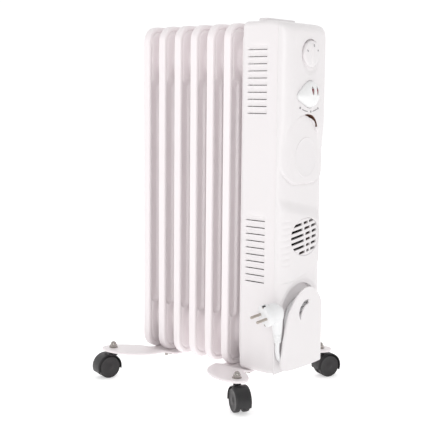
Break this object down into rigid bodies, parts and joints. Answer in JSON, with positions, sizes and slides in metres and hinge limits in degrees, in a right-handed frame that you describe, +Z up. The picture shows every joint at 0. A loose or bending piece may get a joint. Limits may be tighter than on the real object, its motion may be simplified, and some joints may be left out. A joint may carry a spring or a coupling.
{
  "type": "oil filled radiator heater",
  "caption": "Free-standing oil filled radiator with upright fins, a thermostat and switch panel, a fan outlet, a cord store with plug, and twin-wheel casters.",
  "frame": {"origin": "on the floor under the centre of the heater's bounding box, measured without its cord and plug", "axes": "+X runs along the stack of fins towards the control panel, +Z is up, and the control panel faces +X"},
  "size_m": [0.3676, 0.3214, 0.631],
  "materials": {
    "white_enamel": "satin powder enamel",
    "white_plastic": "fine satin-gloss moulded",
    "grey_plastic": "matt moulded",
    "bright_steel": "bright zinc plate",
    "control_body": "matt moulded",
    "red_plastic": "dark translucent red",
    "heater_ceramic": "bare",
    "cord_white": "soft matt vinyl",
    "pin_metal": "nickel-plated brass",
    "caster_black": "satin moulded nylon"
  },
  "bodies": {
    "root": {"fin_1": "white_enamel", "fin_2": "white_enamel", "fin_3": "white_enamel", "fin_4": "white_enamel", "fin_5": "white_enamel", "fin_6": "white_enamel", "fin_7": "white_enamel", "hub_collars": "white_enamel", "hub_caps": "white_enamel", "case_shell": "white_enamel", "front_foot": "white_enamel", "rear_foot": "white_enamel", "top_cap": "white_plastic", "front_panel": "white_plastic", "switch_bezel": "white_plastic", "vent_grille": "white_plastic", "wrap_plate": "white_plastic", "wrap_post": "white_plastic", "badge_plate": "grey_plastic", "fan_duct": "grey_plastic", "terminal_block": "grey_plastic", "cord_clamp": "grey_plastic", "filler_plug": "bright_steel", "element_flange": "bright_steel", "heat_shield": "bright_steel", "u_bolts": "bright_steel", "wing_nuts": "bright_steel", "acorn_nuts": "bright_steel", "caster_stems": "bright_steel", "fan_motor": "bright_steel", "heating_element": "bright_steel", "thermostat_body": "control_body", "switch_block": "control_body", "thermal_cutout": "control_body", "fan_heater_grid": "heater_ceramic", "cord_tail": "cord_white", "cord_coil": "cord_white", "plug_body": "cord_white", "plug_pins": "pin_metal", "plug_earth_clips": "pin_metal"},
    "knob": {"thermostat_knob": "white_plastic"},
    "rocker_left": {"rocker_left": "red_plastic"},
    "rocker_right": {"rocker_right": "red_plastic"},
    "fan": {"fan_wheel": "grey_plastic"},
    "caster_front_left": {"caster_front_left_hood": "caster_black", "caster_front_left_axle": "bright_steel"},
    "wheel_front_left_a": {"caster_front_left_wheel_a": "caster_black"},
    "wheel_front_left_b": {"caster_front_left_wheel_b": "caster_black"},
    "caster_rear_left": {"caster_rear_left_hood": "caster_black", "caster_rear_left_axle": "bright_steel"},
    "wheel_rear_left_a": {"caster_rear_left_wheel_a": "caster_black"},
    "wheel_rear_left_b": {"caster_rear_left_wheel_b": "caster_black"},
    "caster_front_right": {"caster_front_right_hood": "caster_black", "caster_front_right_axle": "bright_steel"},
    "wheel_front_right_a": {"caster_front_right_wheel_a": "caster_black"},
    "wheel_front_right_b": {"caster_front_right_wheel_b": "caster_black"},
    "caster_rear_right": {"caster_rear_right_hood": "caster_black", "caster_rear_right_axle": "bright_steel"},
    "wheel_rear_right_a": {"caster_rear_right_wheel_a": "caster_black"},
    "wheel_rear_right_b": {"caster_rear_right_wheel_b": "caster_black"}
  },
  "joints": [
    {"name": "thermostat_turn", "type": "hinge", "parent": "root", "child": "knob", "pos_m": [0.17177, 0, 0.573], "axis": [1, 0, 0], "range_deg": [-270, 0]},
    {"name": "rocker_left_tip", "type": "hinge", "parent": "root", "child": "rocker_left", "pos_m": [0.16977, -0.0065, 0.514], "axis": [0, 1, 0], "range_deg": [-14, 0]},
    {"name": "rocker_right_tip", "type": "hinge", "parent": "root", "child": "rocker_right", "pos_m": [0.16977, 0.0065, 0.514], "axis": [0, 1, 0], "range_deg": [-14, 0]},
    {"name": "fan_spin", "type": "hinge", "parent": "root", "child": "fan", "pos_m": [0.12677, 0, 0.275], "axis": [1, 0, 0], "continuous": true},
    {"name": "caster_front_left_swivel", "type": "hinge", "parent": "root", "child": "caster_front_left", "pos_m": [0.12377, -0.122, 0.044], "axis": [0, 0, 1], "continuous": true},
    {"name": "wheel_front_left_a_spin", "type": "hinge", "parent": "caster_front_left", "child": "wheel_front_left_a", "pos_m": [0.13485, -0.12879, 0.02], "axis": [0.5225, 0.8526, 0], "continuous": true},
    {"name": "wheel_front_left_b_spin", "type": "hinge", "parent": "caster_front_left", "child": "wheel_front_left_b", "pos_m": [0.13485, -0.12879, 0.02], "axis": [0.5225, 0.8526, 0], "continuous": true},
    {"name": "caster_rear_left_swivel", "type": "hinge", "parent": "root", "child": "caster_rear_left", "pos_m": [-0.16023, -0.122, 0.044], "axis": [0, 0, 1], "continuous": true},
    {"name": "wheel_rear_left_a_spin", "type": "hinge", "parent": "caster_rear_left", "child": "wheel_rear_left_a", "pos_m": [-0.16414, -0.1344, 0.02], "axis": [0.9537, -0.3007, 0], "continuous": true},
    {"name": "wheel_rear_left_b_spin", "type": "hinge", "parent": "caster_rear_left", "child": "wheel_rear_left_b", "pos_m": [-0.16414, -0.1344, 0.02], "axis": [0.9537, -0.3007, 0], "continuous": true},
    {"name": "caster_front_right_swivel", "type": "hinge", "parent": "root", "child": "caster_front_right", "pos_m": [0.12377, 0.122, 0.044], "axis": [0, 0, 1], "continuous": true},
    {"name": "wheel_front_right_a_spin", "type": "hinge", "parent": "caster_front_right", "child": "wheel_front_right_a", "pos_m": [0.12926, 0.13378, 0.02], "axis": [-0.9063, 0.4226, 0], "continuous": true},
    {"name": "wheel_front_right_b_spin", "type": "hinge", "parent": "caster_front_right", "child": "wheel_front_right_b", "pos_m": [0.12926, 0.13378, 0.02], "axis": [-0.9063, 0.4226, 0], "continuous": true},
    {"name": "caster_rear_right_swivel", "type": "hinge", "parent": "root", "child": "caster_rear_right", "pos_m": [-0.16023, 0.122, 0.044], "axis": [0, 0, 1], "continuous": true},
    {"name": "wheel_rear_right_a_spin", "type": "hinge", "parent": "caster_rear_right", "child": "wheel_rear_right_a", "pos_m": [-0.16414, 0.1344, 0.02], "axis": [-0.9537, -0.3007, 0], "continuous": true},
    {"name": "wheel_rear_right_b_spin", "type": "hinge", "parent": "caster_rear_right", "child": "wheel_rear_right_b", "pos_m": [-0.16414, 0.1344, 0.02], "axis": [-0.9537, -0.3007, 0], "continuous": true}
  ]
}
